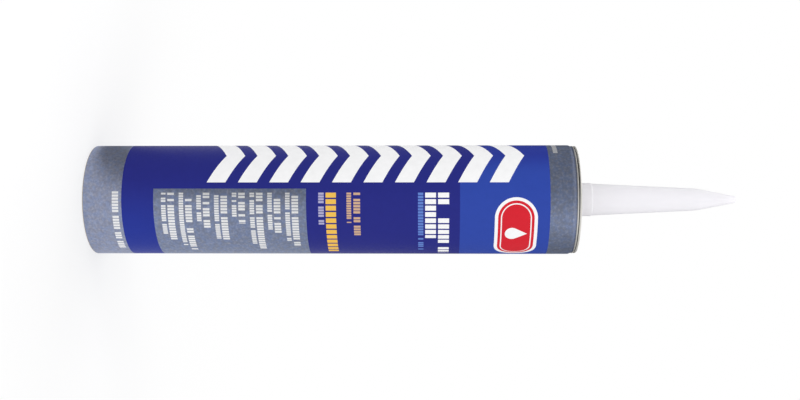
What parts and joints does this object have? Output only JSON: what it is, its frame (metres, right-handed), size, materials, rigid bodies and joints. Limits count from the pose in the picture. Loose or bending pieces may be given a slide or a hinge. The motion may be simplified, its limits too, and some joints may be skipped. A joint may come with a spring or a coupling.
{
  "type": "construction adhesive cartridge",
  "caption": "Fibre cartridge of construction adhesive with a crimped tinplate end, a tapered closed nozzle and a sliding plunger for a dispensing gun.",
  "frame": {"origin": "centre of the open rear rim, on the plane that the cartridge stands on", "axes": "+Z along the cartridge's axis, towards the nozzle; -Y is the side of the print that the picture shows"},
  "size_m": [0.0492, 0.0492, 0.29],
  "materials": {
    "fibre": "matte",
    "printed_wrap": "satin",
    "tinplate": "satin",
    "nozzle_plastic": "satin",
    "foil": "satin",
    "plunger_plastic": "satin",
    "paste": "matte"
  },
  "bodies": {
    "cartridge": {"tube": "fibre", "label": "printed_wrap", "front_end": "tinplate", "nozzle": "nozzle_plastic", "inner_seal": "foil", "adhesive": "paste"},
    "plunger": {"plunger": "plunger_plastic"}
  },
  "joints": [
    {"name": "plunger_slide", "type": "slide", "parent": "cartridge", "child": "plunger", "axis": [0, 0, 1], "range_m": [0, 0.1712], "deforming": ["adhesive"]}
  ]
}
